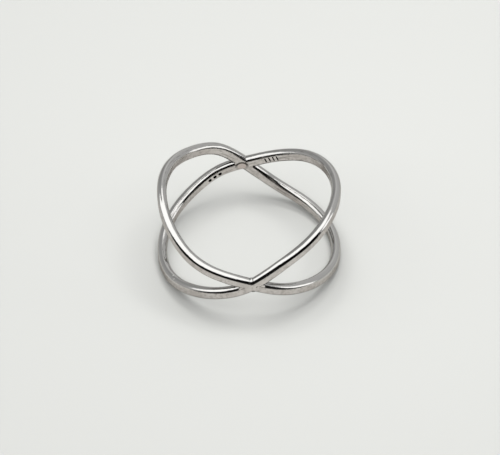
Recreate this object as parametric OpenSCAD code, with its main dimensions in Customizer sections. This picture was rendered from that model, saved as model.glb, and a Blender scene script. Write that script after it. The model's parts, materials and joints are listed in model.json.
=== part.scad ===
// Crossover ring: two closed loops of rounded silver wire round one finger hole. They tilt
// opposite ways, cross at the front and at the back, and are soldered there into one piece.
// The ring lies on its side on z = 0, as it rests on a table, with its front towards -Y.
// Angles go round the ring from the front by the left. All sizes are in millimetres.

/* [Finger hole] */
// Inside diameter of the ring
finger_d = 17.2; // [14:0.1:22]

/* [Wire] */
// Thickness of the wire, outwards from the finger hole
wire_t = 0.98; // [0.8:0.02:1.2]
// Width of the wire over its two domed edges
wire_w = 1.36; // [1.2:0.02:2]
// Width of the wire's flat inner and outer faces
flat_w = 0.64; // [0.4:0.02:0.8]

/* [Height] */
// Overall height of the ring as it lies
ring_h = 10.25; // [8:0.05:12]

/* [Punch marks] */
// Depth of the punched dots and bars inside the ring
punch_depth = 0.12; // [0.04:0.02:0.2]
// Diameter of a punched dot
dot_d = 0.4; // [0.2:0.05:0.5]
// Width of a punched bar
bar_w = 0.16; // [0.1:0.02:0.3]
// Length of a punched bar
bar_l = 0.56; // [0.3:0.02:0.7]

/* [Smoothness] */
// Steps round each loop
loop_steps = 96; // [72:12:120]
// Segments in each domed edge of the wire
dome_steps = 6; // [4:1:7]

/* [Hidden] */

finger_r = finger_d / 2;
outer_r = finger_r + wire_t;
bore_facets = 360;
punch_facets = 32;
// The wire starts a little too thick on its inner side, and the finger hole is bored through it
bore_stock = 0.04;
stock_t = wire_t + bore_stock;
wire_mid_r = outer_r - stock_t / 2;

// Each domed edge is an arc from the outer face over to the inner one
dome_rise = (wire_w - flat_w) / 2;
dome_half_angle = 2 * atan2(dome_rise, stock_t / 2);
dome_r = stock_t / 2 / sin(dome_half_angle);

// Control heights of the loops' centre lines:
// [angle, first loop, second loop]
HEIGHT_ROWS = [
    [0, 5.0, 4.3],
    [20, 5.6, 2.9],
    [40, 6.1, 1.8],
    [60, 7.6, 0.8],
    [80, 9.1, 0.5],
    [100, 9.7, 1.1],
    [120, 9.4, 1.8],
    [140, 8.4, 2.7],
    [160, 7.7, 4.3],
    [180, 4.2, 4.8],
    [200, 1.6, 6.3],
    [220, 1.0, 7.9],
    [240, 0.7, 8.9],
    [260, 0.6, 9.4],
    [280, 0.8, 9.6],
    [300, 1.5, 9.2],
    [320, 2.4, 8.2],
    [340, 3.4, 7.0]
];
FIRST = 1;
SECOND = 2;
row_count = len(HEIGHT_ROWS);
row_angle = 360 / row_count;

// Rows of punch marks on the inner face of the second loop:
// [angle of the middle of the row, marks in the row, distance between marks]
DOT_ROW = [155.5, 3, 0.58];
BAR_ROW = [196, 4, 0.42];
ROW_MIDDLE = 0;
ROW_MARKS = 1;
ROW_PITCH = 2;

function control(row, loop) = HEIGHT_ROWS[(row + row_count) % row_count][loop];

// Height of a loop's centre line at an angle: a closed cubic B-spline over the rows
function height_at(angle, loop) =
    let (place = angle / row_angle, row = floor(place), f = place - row)
    ((1 - f) ^ 3 * control(row - 1, loop)
    + (3 * f ^ 3 - 6 * f ^ 2 + 4) * control(row, loop)
    + (-3 * f ^ 3 + 3 * f ^ 2 + 3 * f + 1) * control(row + 1, loop)
    + f ^ 3 * control(row + 2, loop)) / 6;

// Slope of the loop there, in degrees, as it climbs round the ring
function slope_at(angle, loop) =
    let (step = 0.5, arc = wire_mid_r * 2 * step * PI / 180)
    atan2(height_at(angle + step, loop) - height_at(angle - step, loop), arc);

// Outline of the wire's section: [outwards from its middle, across the wire]
function wire_section() = [
    for (side = [1, -1], step = [0:dome_steps])
        let (turn = dome_half_angle * (1 - 2 * step / dome_steps))
        side * [dome_r * sin(turn), wire_w / 2 - dome_r + dome_r * cos(turn)]
];

// A point of the section, which stands square to the loop at an angle
function wire_point(corner, angle, loop) =
    let (slope = slope_at(angle, loop),
        out = wire_mid_r + corner[0],
        along = -corner[1] * sin(slope),
        up = height_at(angle, loop) + corner[1] * cos(slope))
    [-out * sin(angle) - along * cos(angle), -out * cos(angle) + along * sin(angle), up];

function loop_points(loop) = [
    for (step = [0:loop_steps - 1], corner = wire_section())
        wire_point(corner, 360 * step / loop_steps, loop)
];

point_heights = [for (loop = [FIRST, SECOND], point = loop_points(loop)) point[2]];
lowest = min(point_heights);
height_scale = ring_h / (max(point_heights) - lowest);

module wire_loop(loop) {
    m = len(wire_section());
    faces = [
        for (step = [0:loop_steps - 1], k = [0:m - 1])
            let (next = (step + 1) % loop_steps, j = (k + 1) % m)
            each [
                [step * m + k, next * m + k, next * m + j],
                [step * m + k, next * m + j, step * m + j]
            ]
    ];
    polyhedron(loop_points(loop), faces);
}

module soldered_loops() {
    resize([0, 0, ring_h])
        translate([0, 0, -lowest]) {
            wire_loop(FIRST);
            wire_loop(SECOND);
        }
}

// Stands each punch of a row on the inner face of the second loop, pointing outwards
module punch_row(row) {
    pitch_angle = row[ROW_PITCH] / finger_r * 180 / PI;
    for (mark = [0:row[ROW_MARKS] - 1]) {
        angle = row[ROW_MIDDLE] + (mark - (row[ROW_MARKS] - 1) / 2) * pitch_angle;
        rotate([0, 0, -angle])
            translate([0, -finger_r, (height_at(angle, SECOND) - lowest) * height_scale])
                rotate([0, slope_at(angle, SECOND), 0])
                    children();
    }
}

module dot_punch() {
    rotate([90, 0, 0])
        cylinder(d = dot_d, h = 2 * punch_depth, center = true, $fn = punch_facets);
}

module bar_punch() {
    cube([bar_w, 2 * punch_depth, bar_l], center = true);
}

module crossover_band() {
    color("silver")
        difference() {
            soldered_loops();
            translate([0, 0, -ring_h])
                cylinder(r = finger_r, h = 3 * ring_h, $fn = bore_facets);
            punch_row(DOT_ROW) dot_punch();
            punch_row(BAR_ROW) bar_punch();
        }
}

crossover_band();
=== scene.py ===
# Crossover ring: two loops of rounded silver wire that cross and are soldered front and back.
# The ring lies on its side on a pale studio floor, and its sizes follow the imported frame.
import json
import math

import bmesh
import bpy
from mathutils import Matrix, Vector, noise


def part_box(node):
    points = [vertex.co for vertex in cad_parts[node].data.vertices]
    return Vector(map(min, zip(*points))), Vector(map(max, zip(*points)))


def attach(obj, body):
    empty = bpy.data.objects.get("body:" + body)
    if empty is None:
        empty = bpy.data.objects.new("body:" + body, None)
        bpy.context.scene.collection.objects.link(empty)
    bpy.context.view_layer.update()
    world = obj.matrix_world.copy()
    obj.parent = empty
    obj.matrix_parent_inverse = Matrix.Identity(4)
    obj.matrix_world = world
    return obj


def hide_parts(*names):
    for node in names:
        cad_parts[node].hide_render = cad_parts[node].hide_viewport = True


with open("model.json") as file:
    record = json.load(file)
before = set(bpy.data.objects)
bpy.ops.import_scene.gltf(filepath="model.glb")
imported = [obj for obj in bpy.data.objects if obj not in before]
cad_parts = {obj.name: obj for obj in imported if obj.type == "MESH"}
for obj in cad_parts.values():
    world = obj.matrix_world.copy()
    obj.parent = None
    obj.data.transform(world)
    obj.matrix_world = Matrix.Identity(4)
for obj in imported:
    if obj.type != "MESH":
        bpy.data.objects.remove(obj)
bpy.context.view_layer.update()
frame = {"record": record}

mm = 0.001
low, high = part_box("crossover_band")
fingerRadius = frame["record"]["mounts"][0]["dims"]["r_mm"]
outerRadius = (high[0] - low[0]) / 2 / mm
middleRadius = (fingerRadius + outerRadius) / 2
halfThickness = (outerRadius - fingerRadius) / 2
ringHeight = (high[2] - low[2]) / mm

# Control heights of the loops' centre lines in millimetres: angle, first loop, second loop.
# Angles go round the ring from the front by the left.
heightRows = [
    (0, 5.0, 4.3), (20, 5.6, 2.9), (40, 6.1, 1.8),
    (60, 7.6, 0.8), (80, 9.1, 0.5), (100, 9.7, 1.1),
    (120, 9.4, 1.8), (140, 8.4, 2.7), (160, 7.7, 4.3),
    (180, 4.2, 4.8), (200, 1.6, 6.3), (220, 1.0, 7.9),
    (240, 0.7, 8.9), (260, 0.6, 9.4), (280, 0.8, 9.6),
    (300, 1.5, 9.2), (320, 2.4, 8.2), (340, 3.4, 7.0),
]
firstLoop = 1
secondLoop = 2
rowAngle = 360 / len(heightRows)

# The ring is modelled in millimetres and brought to metres at the end
wireSettings = {
    "width": 1.36,  # over both domed edges
    "flatWidth": 0.64,  # of the flat inner and outer faces
    "domeSteps": 24,
    "loopSteps": 360,
    "weld": 0.004,  # corners closer than this become one where the wires meet
    "handFinish": 0.012,  # how uneven filing and buffing left the metal
    "handFinishSize": 2.4,
    "fineFinish": 0.4,  # share of the finer unevenness
    "fineFinishRatio": 2.7,  # how much finer it is
    "creaseAngle": 12,  # edges sharper than this, in degrees, aren't smoothed
}


def heightAt(angle, loop):  # a closed cubic B-spline over the rows
    place = angle / rowAngle
    row = math.floor(place)
    part = place - row
    weights = (
        (1 - part) ** 3,
        3 * part**3 - 6 * part**2 + 4,
        -3 * part**3 + 3 * part**2 + 3 * part + 1,
        part**3,
    )
    rows = [heightRows[(row + step) % len(heightRows)] for step in (-1, 0, 1, 2)]
    return sum(weight * row[loop] for weight, row in zip(weights, rows)) / 6


def slopeAt(angle, loop):
    step = 0.5
    arc = middleRadius * math.radians(2 * step)
    return math.atan2(heightAt(angle + step, loop) - heightAt(angle - step, loop), arc)


def wireFrame(angle, loop):  # outwards, back along the wire, across the wire
    slope = slopeAt(angle, loop)
    turn = math.radians(angle)
    outwards = Vector((-math.sin(turn), -math.cos(turn), 0))
    onwards = Vector((-math.cos(turn), math.sin(turn), 0))
    up = Vector((0, 0, 1))
    along = onwards * math.cos(slope) + up * math.sin(slope)
    across = up * math.cos(slope) - onwards * math.sin(slope)
    place = Matrix.Translation(outwards * middleRadius + up * heightAt(angle, loop))
    return place @ Matrix((outwards, -along, across)).transposed().to_4x4()


def objectFromBmesh(name, bm):
    mesh = bpy.data.meshes.new(name)
    bm.to_mesh(mesh)
    bm.free()
    made = bpy.data.objects.new(name, mesh)
    bpy.context.collection.objects.link(made)
    return made


def ofKind(geometry, kind):
    return [item for item in geometry if isinstance(item, kind)]


def sweepWire(name, loop):
    rise = (wireSettings["width"] - wireSettings["flatWidth"]) / 2
    halfAngle = 2 * math.atan2(rise, halfThickness)
    domeRadius = halfThickness / math.sin(halfAngle)
    bm = bmesh.new()
    start = bm.verts.new((halfThickness, 0, wireSettings["flatWidth"] / 2))
    bmesh.ops.spin(
        bm,
        geom=[start],
        cent=(0, 0, wireSettings["width"] / 2 - domeRadius),
        axis=(0, -1, 0),
        angle=2 * halfAngle,
        steps=wireSettings["domeSteps"],
    )
    otherDome = bmesh.ops.duplicate(bm, geom=bm.verts[:] + bm.edges[:])["geom"]
    bmesh.ops.rotate(
        bm,
        cent=(0, 0, 0),
        matrix=Matrix.Rotation(math.pi, 3, "Y"),
        verts=ofKind(otherDome, bmesh.types.BMVert),
    )
    domeEnds = [vert for vert in bm.verts if len(vert.link_edges) == 1]
    for side in (1, -1):
        bm.edges.new([vert for vert in domeEnds if vert.co.x * side > 0])

    steps = wireSettings["loopSteps"]
    current = wireFrame(0, loop)
    bmesh.ops.transform(bm, matrix=current, verts=bm.verts)
    firstRing = bm.edges[:]
    ring = firstRing
    for step in range(1, steps):
        grown = bmesh.ops.extrude_edge_only(bm, edges=ring)["geom"]
        ring = ofKind(grown, bmesh.types.BMEdge)
        verts = ofKind(grown, bmesh.types.BMVert)
        following = wireFrame(360 * step / steps, loop)
        bmesh.ops.transform(bm, matrix=following @ current.inverted(), verts=verts)
        current = following
    bmesh.ops.bridge_loops(bm, edges=firstRing + ring)
    bmesh.ops.recalc_face_normals(bm, faces=bm.faces)
    return objectFromBmesh(name, bm)


def joinBy(operation, made, tool):  # cuts or joins with a Boolean, and uses the tool up
    boolean = made.modifiers.new(operation, "BOOLEAN")
    boolean.operation = operation
    boolean.solver = "EXACT"
    boolean.object = tool
    view = bpy.context.evaluated_depsgraph_get()
    mesh = bpy.data.meshes.new_from_object(made.evaluated_get(view))
    made.modifiers.clear()
    spent = made.data
    made.data = mesh
    bpy.data.meshes.remove(spent)
    bpy.data.objects.remove(tool)


def solderLoops():
    ring = sweepWire("crossoverBand", firstLoop)
    joinBy("UNION", ring, sweepWire("secondWire", secondLoop))
    bm = bmesh.new()
    bm.from_mesh(ring.data)
    bmesh.ops.remove_doubles(bm, verts=bm.verts, dist=wireSettings["weld"])
    bmesh.ops.dissolve_degenerate(bm, edges=bm.edges, dist=wireSettings["weld"])
    bm.to_mesh(ring.data)
    bm.free()
    return ring


solderSettings = {
    "inset": 0.012,  # how far the solder lies below the faces of the wire
    "fillSegments": 48,
    "fillBevel": 0.06,
    "bevelSegments": 3,
    "beadSubdivisions": 4,
}

# Solder that fills the narrow ends of the crossings: angle, height, radius
solderFills = [
    (3.8, 4.40, 0.46),
    (352.8, 4.66, 0.46),
    (172.2, 5.18, 0.36),
    (180.8, 4.50, 0.36),
]

# Beads of solder that round the wide notches of the crossings: angle, height
solderBeads = [
    (358.6, 5.09),
    (357.4, 4.28),
    (176.2, 5.22),
    (177.8, 4.40),
]


def bendRound(bm, angle):  # wraps a shape made along x round the ring at an angle
    for vert in bm.verts:
        turn = math.radians(angle) + vert.co.x / outerRadius
        radius = vert.co.y
        vert.co.x = -math.sin(turn) * radius
        vert.co.y = -math.cos(turn) * radius


def makeFill(angle, height, radius):  # a round plug with softened rims
    lying = Matrix.Translation((0, middleRadius, height)) @ Matrix.Rotation(math.pi / 2, 4, "X")
    bm = bmesh.new()
    bmesh.ops.create_cone(
        bm,
        cap_ends=True,
        segments=solderSettings["fillSegments"],
        radius1=radius,
        radius2=radius,
        depth=outerRadius - fingerRadius - 2 * solderSettings["inset"],
        matrix=lying,
    )
    caps = [face for face in bm.faces if len(face.verts) == solderSettings["fillSegments"]]
    rims = [edge for edge in bm.edges if any(face in caps for face in edge.link_faces)]
    bmesh.ops.bevel(
        bm,
        geom=rims,
        offset=solderSettings["fillBevel"],
        offset_type="OFFSET",
        affect="EDGES",
        segments=solderSettings["bevelSegments"],
        profile=0.5,
        material=-1,
    )
    bendRound(bm, angle)
    bmesh.ops.recalc_face_normals(bm, faces=bm.faces)
    return bm


def fillCrotches(ring):
    fills = bmesh.new()
    for angle, height, radius in solderFills:
        fill = makeFill(angle, height, radius)
        made = bpy.data.meshes.new("fill")
        fill.to_mesh(made)
        fill.free()
        fills.from_mesh(made)
        bpy.data.meshes.remove(made)
    joinBy("UNION", ring, objectFromBmesh("solderFill", fills))
    for angle, height in solderBeads:
        bead = bmesh.new()
        bmesh.ops.create_icosphere(
            bead,
            subdivisions=solderSettings["beadSubdivisions"],
            radius=halfThickness - solderSettings["inset"],
            matrix=Matrix.Translation((0, middleRadius, height)),
        )
        bendRound(bead, angle)
        bmesh.ops.recalc_face_normals(bead, faces=bead.faces)
        joinBy("UNION", ring, objectFromBmesh("solderBead", bead))


def roughenByHand(ring):
    bm = bmesh.new()
    bm.from_mesh(ring.data)
    bm.normal_update()
    size = wireSettings["handFinishSize"]
    share = wireSettings["fineFinish"]
    ratio = wireSettings["fineFinishRatio"]
    for vert in bm.verts:
        uneven = noise.noise(vert.co / size) + share * noise.noise(vert.co / size * ratio)
        vert.co += vert.normal * uneven * wireSettings["handFinish"]
    bm.to_mesh(ring.data)
    bm.free()


# Nicks: angle, loop, outwards and across from the wire's middle, radius, depth
nickRows = [
    (56, secondLoop, 0.30, 0.59, 0.14, 0.07),
    (53, secondLoop, 0.40, 0.50, 0.11, 0.07),
    (59, secondLoop, 0.10, 0.67, 0.11, 0.04),
    (318, firstLoop, 0.35, 0.55, 0.10, 0.03),
    (196, secondLoop, 0.10, 0.67, 0.08, 0.02),
]
nickSubdivisions = 3

# Plain punched dots and bars inside the ring: angle of the row's middle, marks, distance apart
punchSettings = {
    "dotRow": (155.5, 3, 0.58),
    "barRow": (196, 4, 0.42),
    "dotDiameter": 0.4,
    "dotSegments": 24,
    "barWidth": 0.16,
    "barLength": 0.56,
    "depth": 0.12,
}


def punchPlaces(row):
    middle, marks, pitch = row
    pitchAngle = math.degrees(pitch / fingerRadius)
    inwards = Matrix.Translation((-halfThickness, 0, 0))
    for mark in range(marks):
        angle = middle + (mark - (marks - 1) / 2) * pitchAngle
        yield wireFrame(angle, secondLoop) @ inwards


def cutMarks(ring):
    bm = bmesh.new()
    depth = punchSettings["depth"]
    radius = punchSettings["dotDiameter"] / 2
    for place in punchPlaces(punchSettings["dotRow"]):
        bmesh.ops.create_cone(
            bm,
            cap_ends=True,
            segments=punchSettings["dotSegments"],
            radius1=radius,
            radius2=radius,
            depth=2 * depth,
            matrix=place @ Matrix.Rotation(math.pi / 2, 4, "Y"),
        )
    barSize = (2 * depth, punchSettings["barWidth"], punchSettings["barLength"], 1)
    for place in punchPlaces(punchSettings["barRow"]):
        bmesh.ops.create_cube(bm, size=1, matrix=place @ Matrix.Diagonal(barSize))
    for angle, loop, outwards, across, size, nickDepth in nickRows:
        away = Vector((outwards, 0, across)).normalized() * (size - nickDepth)
        place = Matrix.Translation(Vector((outwards, 0, across)) + away)
        bmesh.ops.create_icosphere(
            bm,
            subdivisions=nickSubdivisions,
            radius=size,
            matrix=wireFrame(angle, loop) @ place,
        )
    bmesh.ops.recalc_face_normals(bm, faces=bm.faces)
    joinBy("DIFFERENCE", ring, objectFromBmesh("punches", bm))


# The solder that shows as an oval spot inside the back crossing
solderSpot = {"angle": 175.0, "height": 4.72, "halfWidth": 0.56, "halfHeight": 0.47}

# Where the spot and the dark punch marks are looked for
surfaceSettings = {
    "innerDepth": 0.2,  # how far out from the finger hole its side of the wire reaches
    "sunkDepth": 0.02,  # metal further below the inner face than this lies in a mark
    "markReach": 0.34,  # from a mark's middle to the sides of the square that holds it
    "offSpot": (0, 0, 5),  # well outside the spot, whose edge is at a length of 1
}


def storeSurface(ring):  # what the silver's material reads at each point
    mesh = ring.data
    mesh.attributes.new("alongWire", "FLOAT_VECTOR", "POINT")  # along, across, radius
    mesh.attributes.new("oxide", "FLOAT", "POINT")  # 1 in the punch marks
    mesh.attributes.new("solder", "FLOAT_VECTOR", "POINT")  # along and up from the spot
    alongWire = mesh.attributes["alongWire"]
    oxide = mesh.attributes["oxide"]
    solder = mesh.attributes["solder"]
    marks = [place.inverted() for place in punchPlaces(punchSettings["dotRow"])]
    marks += [place.inverted() for place in punchPlaces(punchSettings["barRow"])]
    reach = surfaceSettings["markReach"]
    for vert in mesh.vertices:
        x, y, z = vert.co
        angle = math.degrees(math.atan2(-x, -y)) % 360
        radius = math.hypot(x, y)
        offsets = {loop: z - heightAt(angle, loop) for loop in (firstLoop, secondLoop)}
        nearest = min(offsets, key=lambda loop: abs(offsets[loop]))
        across = offsets[nearest] * math.cos(slopeAt(angle, nearest))
        alongWire.data[vert.index].vector = (math.radians(angle) * radius, across, radius)
        if radius >= fingerRadius + surfaceSettings["innerDepth"]:
            solder.data[vert.index].vector = surfaceSettings["offSpot"]
            continue
        spotUp = (z - solderSpot["height"]) / solderSpot["halfHeight"]
        turn = math.radians(angle - solderSpot["angle"])
        spotAlong = turn * fingerRadius / solderSpot["halfWidth"]
        solder.data[vert.index].vector = (spotAlong, spotUp, 0)
        for mark in marks:
            local = mark @ vert.co
            within = abs(local.y) < reach and abs(local.z) < reach
            if within and local.x > surfaceSettings["sunkDepth"]:
                oxide.data[vert.index].value = 1


def seatOnFloor(ring):
    heights = [vert.co.z for vert in ring.data.vertices]
    stretch = ringHeight / (max(heights) - min(heights))
    toMetres = Matrix.Diagonal((mm, mm, mm * stretch, 1))
    ring.data.transform(toMetres @ Matrix.Translation((0, 0, -min(heights))))


def addNode(tree, kind, inputs, **settings):  # an input is a value or the output to link from
    node = tree.nodes.new(kind)
    for name, setting in settings.items():
        setattr(node, name, setting)
    for name, value in inputs.items():
        if isinstance(value, bpy.types.NodeSocket):
            tree.links.new(value, node.inputs[name])
        else:
            node.inputs[name].default_value = value
    return node


def attributeOf(tree, name, output):
    return addNode(tree, "ShaderNodeAttribute", {}, attribute_name=name).outputs[output]


def mixOver(tree, under, over, factor):
    inputs = {"A": under, "B": over, "Factor": factor}
    return addNode(tree, "ShaderNodeMix", inputs, data_type="RGBA").outputs["Result"]


def rescale(tree, value, ends, newEnds=(0, 1), **settings):  # held at the new ends
    inputs = {"Value": value, "From Min": ends[0], "From Max": ends[1]}
    inputs.update({"To Min": newEnds[0], "To Max": newEnds[1]})
    return addNode(tree, "ShaderNodeMapRange", inputs, **settings).outputs["Result"]


def calculate(tree, operation, *values):
    inputs = dict(enumerate(values))
    return addNode(tree, "ShaderNodeMath", inputs, operation=operation).outputs["Value"]


def noiseOf(tree, place, scale, detail, roughness=0.5):
    inputs = {"Vector": place, "Scale": scale, "Detail": detail, "Roughness": roughness}
    return addNode(tree, "ShaderNodeTexNoise", inputs).outputs["Fac"]


def noiseAlong(tree, alongWire, stretch, detail):  # noise drawn out along the wire
    place = addNode(tree, "ShaderNodeMapping", {"Vector": alongWire, "Scale": stretch})
    return noiseOf(tree, place.outputs["Vector"], 1, detail)


# Colours as the light of the studio shows them, ranges of noise or of millimetres, and depths
# of relief in metres
silverSettings = {
    "edgeTint": (0.62, 0.61, 0.60, 1),
    "domeColour": (0.50, 0.495, 0.480, 1),
    "faceStart": (-0.05, -0.02),  # the look of the flat faces sets in this far below them
    "colour": (0.64, 0.605, 0.577, 1),
    "warmPatch": (0.54, 0.50, 0.47, 1),
    "patchScale": 420,
    "patchRange": (0.42, 0.66),
    "blotch": (0.40, 0.372, 0.352, 1),
    "blotchScale": 2700,
    "blotchRange": (0.48, 0.72),
    "streak": (0.24, 0.222, 0.208, 1),
    "streakStretch": (0.8, 6, 6),
    "streakRange": (0.54, 0.66),
    "streakSide": (0.1, -0.35),  # out from the wire's middle, so only inside the ring
    "streakMost": 0.65,
    # Painted shade: the wire's lower edge is darkened to stand in for the shaded floor under the
    # ring that its downturned dome mirrors
    "paintedLowerShade": (0.20, 0.19, 0.18, 1),
    "paintedLowerShadeRange": (-0.36, -0.46),  # across from the wire's middle
    "paintedLowerShadeMost": 0.7,
    "solderColour": (0.56, 0.49, 0.45, 1),
    "spotRange": (1.0, 0.8),
    "spotMost": 0.85,
    "rimColour": (0.05, 0.042, 0.036, 1),
    "rimReach": 0.64,  # brings the distance from the spot's middle into the ramp's 0 to 1
    "rimRamp": [(0.48, 0), (0.58, 1), (0.76, 1), (0.88, 0)],
    "rimRange": (-0.4, 0.5),  # the rim is darker above the spot than below it
    "rimStrength": (0.25, 0.95),
    "oxideColour": (0.012, 0.011, 0.010, 1),
    "smudgeScale": 900,
    "smudgeRange": (0.35, 0.70),
    "domeRoughness": (0.025, 0.07),
    "faceRoughness": (0.14, 0.24),
    "scratchStretch": (0.9, 16, 16),
    "scratchDepth": 0.000004,
    "hammerScale": 1300,
    "hammerDepth": 0.00001,
    "grainScale": 5000,
    "grainDepth": 0.000006,
}


def addRamp(tree, value, stops):  # grey tones at places from 0 to 1
    ramp = addNode(tree, "ShaderNodeValToRGB", {"Fac": value})
    tones = ramp.color_ramp.elements
    while len(tones) < len(stops):
        tones.new(1)
    for tone, (place, grey) in zip(tones, stops):
        tone.position = place
        tone.color = (grey, grey, grey, 1)
    return ramp.outputs["Color"]


def faceColour(tree, objectPlace):  # silver with soft warm patches and small dull blotches
    look = silverSettings
    patches = noiseOf(tree, objectPlace, look["patchScale"], detail=3)
    warm = rescale(tree, patches, look["patchRange"])
    patched = mixOver(tree, look["colour"], look["warmPatch"], warm)
    blotches = noiseOf(tree, objectPlace, look["blotchScale"], detail=4, roughness=0.6)
    dull = rescale(tree, blotches, look["blotchRange"])
    return mixOver(tree, patched, look["blotch"], dull)


def addStreaks(tree, colour, alongWire, fromMiddle):  # left by filing inside the ring
    look = silverSettings
    streaks = noiseAlong(tree, alongWire, look["streakStretch"], detail=3)
    streaks = rescale(tree, streaks, look["streakRange"])
    inside = rescale(tree, fromMiddle, look["streakSide"], (0, look["streakMost"]))
    return mixOver(tree, colour, look["streak"], calculate(tree, "MULTIPLY", streaks, inside))


def addSolder(tree, colour):  # pinkish solder with a dark rim a little outside it
    look = silverSettings
    spot = attributeOf(tree, "solder", "Vector")
    distance = addNode(tree, "ShaderNodeVectorMath", {0: spot}, operation="LENGTH").outputs["Value"]
    onSpot = rescale(tree, distance, look["spotRange"], (0, look["spotMost"]))
    colour = mixOver(tree, colour, look["solderColour"], onSpot)
    rim = addRamp(tree, calculate(tree, "MULTIPLY", distance, look["rimReach"]), look["rimRamp"])
    up = addNode(tree, "ShaderNodeSeparateXYZ", {"Vector": spot}).outputs["Y"]
    strength = rescale(tree, up, look["rimRange"], look["rimStrength"])
    return mixOver(tree, colour, look["rimColour"], calculate(tree, "MULTIPLY", rim, strength))


def addRelief(tree, objectPlace, alongWire):  # scratches, dents from tapping the ring round, grain
    look = silverSettings
    layers = [
        (noiseAlong(tree, alongWire, look["scratchStretch"], detail=4), look["scratchDepth"]),
        (noiseOf(tree, objectPlace, look["hammerScale"], detail=2), look["hammerDepth"]),
        (noiseOf(tree, objectPlace, look["grainScale"], detail=3), look["grainDepth"]),
    ]
    below = {}
    for height, depth in layers:
        bump = addNode(tree, "ShaderNodeBump", {"Height": height, "Distance": depth, **below})
        below = {"Normal": bump.outputs["Normal"]}
    return bump.outputs["Normal"]


def polishedSilver():
    look = silverSettings
    silver = bpy.data.materials.new("polishedSilver")
    silver.use_nodes = True
    tree = silver.node_tree
    objectPlace = addNode(tree, "ShaderNodeTexCoord", {}).outputs["Object"]
    alongWire = attributeOf(tree, "alongWire", "Vector")
    wireParts = addNode(tree, "ShaderNodeSeparateXYZ", {"Vector": alongWire})

    # The flat faces are less polished than the domed edges
    fromMiddle = calculate(tree, "SUBTRACT", wireParts.outputs["Z"], middleRadius)
    faceStart = [halfThickness + depth for depth in look["faceStart"]]
    onFace = rescale(tree, calculate(tree, "ABSOLUTE", fromMiddle), faceStart)
    colour = mixOver(tree, look["domeColour"], faceColour(tree, objectPlace), onFace)
    colour = addStreaks(tree, colour, alongWire, fromMiddle)
    # Painted shade along the wire's lower edge, standing in for the shaded floor that it mirrors
    paintedLowerShade = (0, look["paintedLowerShadeMost"])
    paintedLowerShade = rescale(tree, wireParts.outputs["Y"], look["paintedLowerShadeRange"], paintedLowerShade)
    colour = mixOver(tree, colour, look["paintedLowerShade"], paintedLowerShade)
    colour = addSolder(tree, colour)
    colour = mixOver(tree, colour, look["oxideColour"], attributeOf(tree, "oxide", "Fac"))

    smudges = noiseOf(tree, objectPlace, look["smudgeScale"], detail=4)
    domeFinish = rescale(tree, smudges, look["smudgeRange"], look["domeRoughness"])
    faceFinish = rescale(tree, smudges, look["smudgeRange"], look["faceRoughness"])
    finishes = {"A": domeFinish, "B": faceFinish, "Factor": onFace}
    roughness = addNode(tree, "ShaderNodeMix", finishes).outputs["Result"]

    shader = tree.nodes["Principled BSDF"]
    shader.inputs["Metallic"].default_value = 1
    shader.inputs["Specular Tint"].default_value = look["edgeTint"]
    tree.links.new(colour, shader.inputs["Base Color"])
    tree.links.new(roughness, shader.inputs["Roughness"])
    tree.links.new(addRelief(tree, objectPlace, alongWire), shader.inputs["Normal"])
    return silver


def makeRing():
    ring = solderLoops()
    fillCrotches(ring)
    print("wires soldered")
    roughenByHand(ring)
    cutMarks(ring)
    storeSurface(ring)
    seatOnFloor(ring)
    ring.data.shade_smooth()
    ring.data.set_sharp_from_angle(angle=math.radians(wireSettings["creaseAngle"]))
    ring.data.materials.clear()
    ring.data.materials.append(polishedSilver())
    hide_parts("crossover_band")
    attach(ring, "root")
    triangles = sum(len(face.vertices) - 2 for face in ring.data.polygons)
    print("ring made,", triangles, "triangles")


studioSettings = {
    "floorSize": 3.0,
    "floorColour": (0.530, 0.535, 0.517, 1),
    "floorRoughness": 0.6,
    "panelColour": (2, 2, 2, 1),
    "panelSoftness": (-0.085, 0.085),
    "wallTones": [(0, 0.60), (0.27, 0.42), (0.40, 0.56), (0.5, 0.92), (0.61, 0.72), (1, 0.64)],
    "frontColour": (0.006, 0.006, 0.006, 1),
    "frontRange": (-0.42, -0.16),  # the dark front side gives way to the walls here
    "lightPlace": (0.019, 0.022, 0.15),
    "lightWidth": 0.09,
    "lightPower": 0.115,
    "flagPlace": (0, -0.020, 0.005),
    "flagHalfSize": (0.10, 0.005),
    "flagRoughness": 0.9,
}

# Round things in the studio: direction, cosines of their outer and inner edges, brightness
studioThings = [
    ((-0.36, 0.36, 0.86), 0.955, 0.975, 0.5),  # the grey stand of the lamp
    ((0.94, -0.08, 0.34), 0.955, 0.980, 2.0),  # a white reflector at the right
]

# Where the white panel overhead ends: towards x and y, at this height above the horizon
panelEdges = [
    (0, -1, 47),
    (0.57, -0.82, 50),
    (0, 1, 64),
    (-1, 0, 20),
    (1, 0, 44),
    (0.64, 0.77, 63),
]


def plainMaterial(name, colour, roughness):
    material = bpy.data.materials.new(name)
    material.use_nodes = True
    shader = material.node_tree.nodes["Principled BSDF"]
    shader.inputs["Base Color"].default_value = colour
    shader.inputs["Roughness"].default_value = roughness
    return material


def makeFloor():
    bm = bmesh.new()
    bmesh.ops.create_grid(bm, x_segments=1, y_segments=1, size=studioSettings["floorSize"])
    floor = objectFromBmesh("studioFloor", bm)
    paper = plainMaterial(
        "floorPaper", studioSettings["floorColour"], studioSettings["floorRoughness"]
    )
    # Matt, so that no part of the floor mirrors the card before the ring
    paper.node_tree.nodes["Principled BSDF"].inputs["Specular IOR Level"].default_value = 0
    floor.data.materials.append(paper)
    print("floor made")


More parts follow.
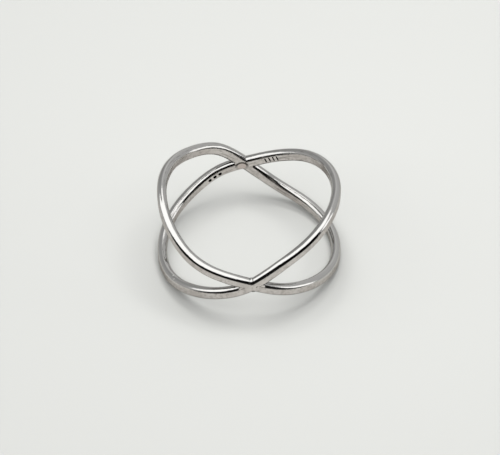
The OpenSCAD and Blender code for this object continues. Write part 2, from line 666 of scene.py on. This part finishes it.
def makeFrontFlag():  # a low black card before the ring, seen only in the silver
    halfLength, halfHeight = studioSettings["flagHalfSize"]
    upright = Matrix.Translation(studioSettings["flagPlace"]) @ Matrix.Rotation(math.pi / 2, 4, "X")
    bm = bmesh.new()
    bmesh.ops.create_grid(bm, x_segments=1, y_segments=1, size=1)
    bmesh.ops.transform(
        bm, matrix=upright @ Matrix.Diagonal((halfLength, halfHeight, 1, 1)), verts=bm.verts
    )
    flag = objectFromBmesh("frontFlag", bm)
    felt = plainMaterial("flagFelt", studioSettings["frontColour"], studioSettings["flagRoughness"])
    flag.data.materials.append(felt)
    flag.visible_camera = False
    flag.visible_diffuse = False
    flag.visible_shadow = False


def facingOf(tree, direction, towards):  # 1 straight towards it, 0 at right angles to it
    inputs = {0: direction, 1: towards}
    return addNode(tree, "ShaderNodeVectorMath", inputs, operation="DOT_PRODUCT").outputs["Value"]


def withinPanel(tree, direction):
    within = 1
    for x, y, height in panelEdges:
        sine = math.sin(math.radians(height))
        inwards = (-x * sine, -y * sine, math.cos(math.radians(height)))
        facing = facingOf(tree, direction, inwards)
        soft = rescale(
            tree, facing, studioSettings["panelSoftness"], interpolation_type="SMOOTHSTEP"
        )
        within = calculate(tree, "MULTIPLY", within, soft)
    return within


def makeStudioWorld():
    world = bpy.data.worlds.new("studio")
    bpy.context.scene.world = world
    world.use_nodes = True
    tree = world.node_tree
    direction = addNode(tree, "ShaderNodeTexCoord", {}).outputs["Generated"]
    parts = addNode(tree, "ShaderNodeSeparateXYZ", {"Vector": direction})
    behindFront = rescale(
        tree, parts.outputs["Y"], studioSettings["frontRange"], interpolation_type="SMOOTHSTEP"
    )
    walls = addRamp(tree, rescale(tree, parts.outputs["X"], (-1, 1)), studioSettings["wallTones"])
    seen = mixOver(tree, studioSettings["frontColour"], walls, behindFront)
    seen = mixOver(tree, seen, studioSettings["panelColour"], withinPanel(tree, direction))
    for towards, outer, inner, brightness in studioThings:
        facing = facingOf(tree, direction, Vector(towards).normalized())
        within = rescale(tree, facing, (outer, inner), interpolation_type="SMOOTHSTEP")
        seen = mixOver(tree, seen, (brightness, brightness, brightness, 1), within)
    tree.links.new(seen, tree.nodes["Background"].inputs["Color"])


def makeOverheadLight():
    softbox = bpy.data.lights.new("overheadSoftbox", "AREA")
    softbox.shape = "DISK"
    softbox.size = studioSettings["lightWidth"]
    softbox.energy = studioSettings["lightPower"]
    placed = bpy.data.objects.new("overheadSoftbox", softbox)
    placed.location = studioSettings["lightPlace"]
    placed.rotation_euler = Vector(placed.location).to_track_quat("Z", "Y").to_euler()
    # The silver mirrors the panel alone, because the lamp shines through it
    placed.visible_glossy = False
    bpy.context.collection.objects.link(placed)


cameraSettings = {
    "elevation": 44.5,
    "distance": 1.0,
    "lens": 688.9,
    "sensorWidth": 36,
    "roll": 0.19,
    "target": (0.095, -0.4385, 4.555),  # millimetres
}


def makeCamera():
    lens = bpy.data.cameras.new("photoCamera")
    lens.sensor_fit = "HORIZONTAL"
    lens.sensor_width = cameraSettings["sensorWidth"]
    lens.lens = cameraSettings["lens"]
    camera = bpy.data.objects.new("photoCamera", lens)
    elevation = math.radians(cameraSettings["elevation"])
    target = Vector(cameraSettings["target"]) * mm
    back = Vector((0, -math.cos(elevation), math.sin(elevation)))
    roll = Matrix.Rotation(-math.radians(cameraSettings["roll"]), 4, "Z")
    tilt = Matrix.Rotation(math.pi / 2 - elevation, 4, "X")
    place = Matrix.Translation(target + back * cameraSettings["distance"])
    camera.matrix_world = place @ tilt @ roll
    bpy.context.collection.objects.link(camera)
    bpy.context.scene.camera = camera


makeRing()
makeFloor()
makeFrontFlag()
makeStudioWorld()
makeOverheadLight()
makeCamera()
bpy.context.scene.view_settings.view_transform = "Standard"
print("studio made")
